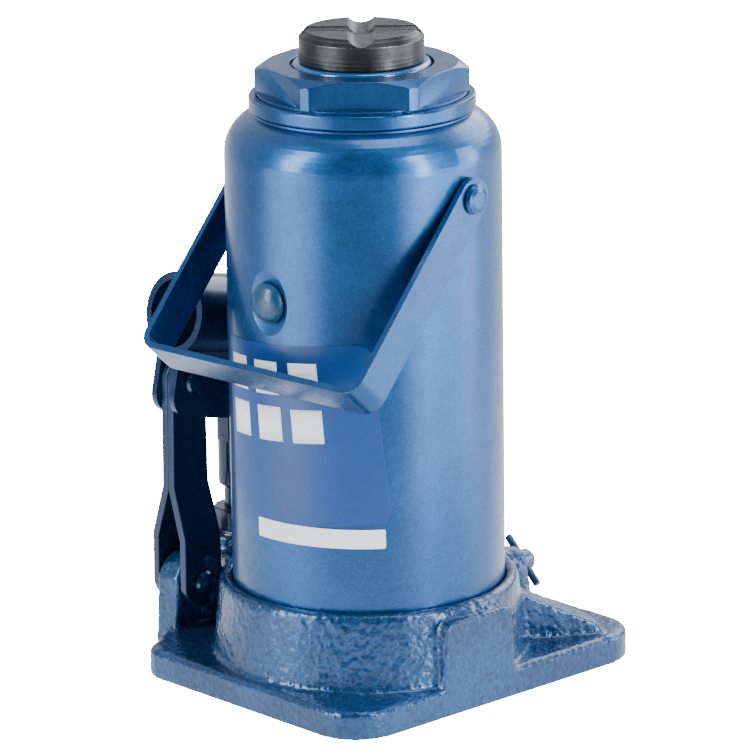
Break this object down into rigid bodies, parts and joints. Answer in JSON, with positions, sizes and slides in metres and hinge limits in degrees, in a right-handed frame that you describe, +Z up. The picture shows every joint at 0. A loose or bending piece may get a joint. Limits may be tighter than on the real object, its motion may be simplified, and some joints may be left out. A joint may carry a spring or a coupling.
{
  "type": "hydraulic bottle jack",
  "caption": "Blue hydraulic bottle jack: cast base with side pump and link-hung handle socket, round oil reservoir, ram with screw-out grooved saddle, folding strap bail.",
  "frame": {"origin": "ram axis at the flat underside of the base", "axes": "+Z up along the ram, +Y towards the release valve and the mouth of the handle socket, +X towards the flat machined pad, -X towards the pump"},
  "size_m": [0.1399, 0.1604, 0.2417],
  "materials": {
    "cast_blue": "gloss paint over rough casting",
    "shell_blue": "metallic gloss paint",
    "trim_blue": "gloss paint",
    "lever_blue": "gloss paint",
    "black_rubber": "matt",
    "teal_rubber": "satin",
    "machined_steel": "turned",
    "copper": "plain",
    "packing": "matt",
    "ball_steel": "polished",
    "zinc_steel": "zinc plated",
    "sticker_blue": "gloss film",
    "sticker_white": "gloss film",
    "pin_steel": "plain",
    "black_oxide": "black oxide with bright worn edges"
  },
  "bodies": {
    "base": {"base_casting": "cast_blue", "reservoir_shell": "shell_blue", "shell_gasket": "black_rubber", "neck_ring": "trim_blue", "pressure_cylinder": "machined_steel", "cylinder_gasket": "copper", "top_nut": "trim_blue", "nut_oring": "black_rubber", "ram_wiper": "black_rubber", "pump_body": "machined_steel", "pump_washer": "copper", "pump_packing": "packing", "pump_gland_nut": "lever_blue", "suction_ball": "ball_steel", "suction_plug": "zinc_steel", "suction_screen": "copper", "delivery_ball": "ball_steel", "delivery_spring": "machined_steel", "delivery_plug": "zinc_steel", "relief_ball": "ball_steel", "relief_spring": "machined_steel", "relief_screw": "zinc_steel", "release_ball": "ball_steel", "bail_stud_left": "trim_blue", "bail_stud_right": "trim_blue", "info_sticker": "sticker_blue", "blank_strip": "sticker_white", "lug_pin": "pin_steel", "lug_clip": "pin_steel"},
    "ram_body": {"ram": "machined_steel", "piston_cup": "black_rubber", "piston_washer": "machined_steel", "piston_wear_ring": "packing", "piston_clip": "pin_steel"},
    "screw_carrier": {"screw_stop_ring": "pin_steel"},
    "screw": {"extension_screw": "black_oxide"},
    "link": {"link_left": "lever_blue", "link_right": "lever_blue"},
    "lever": {"handle_socket": "lever_blue", "fulcrum_pin": "pin_steel", "fulcrum_clip": "pin_steel", "plunger_pin": "pin_steel", "plunger_clip": "pin_steel"},
    "plunger": {"pump_plunger": "lever_blue", "plunger_seal": "black_rubber"},
    "valve": {"release_screw": "zinc_steel", "release_tbar": "zinc_steel", "release_oring": "black_rubber"},
    "bail": {"carry_bail": "trim_blue"},
    "plug": {"filler_plug": "teal_rubber"}
  },
  "joints": [
    {"name": "ram_lift", "type": "slide", "parent": "base", "child": "ram_body", "axis": [0, 0, 1], "range_m": [0, 0.15]},
    {"name": "screw_travel", "type": "slide", "parent": "ram_body", "child": "screw_carrier", "axis": [0, 0, 1], "range_m": [0, 0.06]},
    {"name": "screw_turn", "type": "hinge", "parent": "screw_carrier", "child": "screw", "pos_m": [0, 0, 0.2], "axis": [0, 0, 1], "range_deg": [0, 3599]},
    {"name": "link_rock", "type": "hinge", "parent": "base", "child": "link", "pos_m": [-0.066, -0.031, 0.028], "axis": [1, 0, 0], "range_deg": [-2.5, 0]},
    {"name": "lever_swing", "type": "hinge", "parent": "link", "child": "lever", "pos_m": [-0.066, -0.031, 0.105], "axis": [1, 0, 0], "range_deg": [0, 40]},
    {"name": "plunger_stroke", "type": "slide", "parent": "base", "child": "plunger", "axis": [0, 0, 1], "range_m": [0, 0.0182]},
    {"name": "release_turn", "type": "hinge", "parent": "base", "child": "valve", "pos_m": [-0.01, 0.07, 0.02], "axis": [0, 1, 0], "range_deg": [0, 540]},
    {"name": "bail_swing", "type": "hinge", "parent": "base", "child": "bail", "pos_m": [0, 0, 0.187], "axis": [-0.9969, -0.0785, 0], "range_deg": [0, 225]},
    {"name": "plug_pull", "type": "slide", "parent": "base", "child": "plug", "axis": [0.061, -0.9981, 0], "range_m": [0, 0.012]}
  ],
  "couplings": [
    {"joint": "screw_travel", "follows": "screw_turn", "m_per_rad": 0.00095493},
    {"joint": "link_rock", "follows": "lever_swing", "ratio": -0.039447},
    {"joint": "plunger_stroke", "follows": "lever_swing", "m_per_rad": 0.023992}
  ]
}
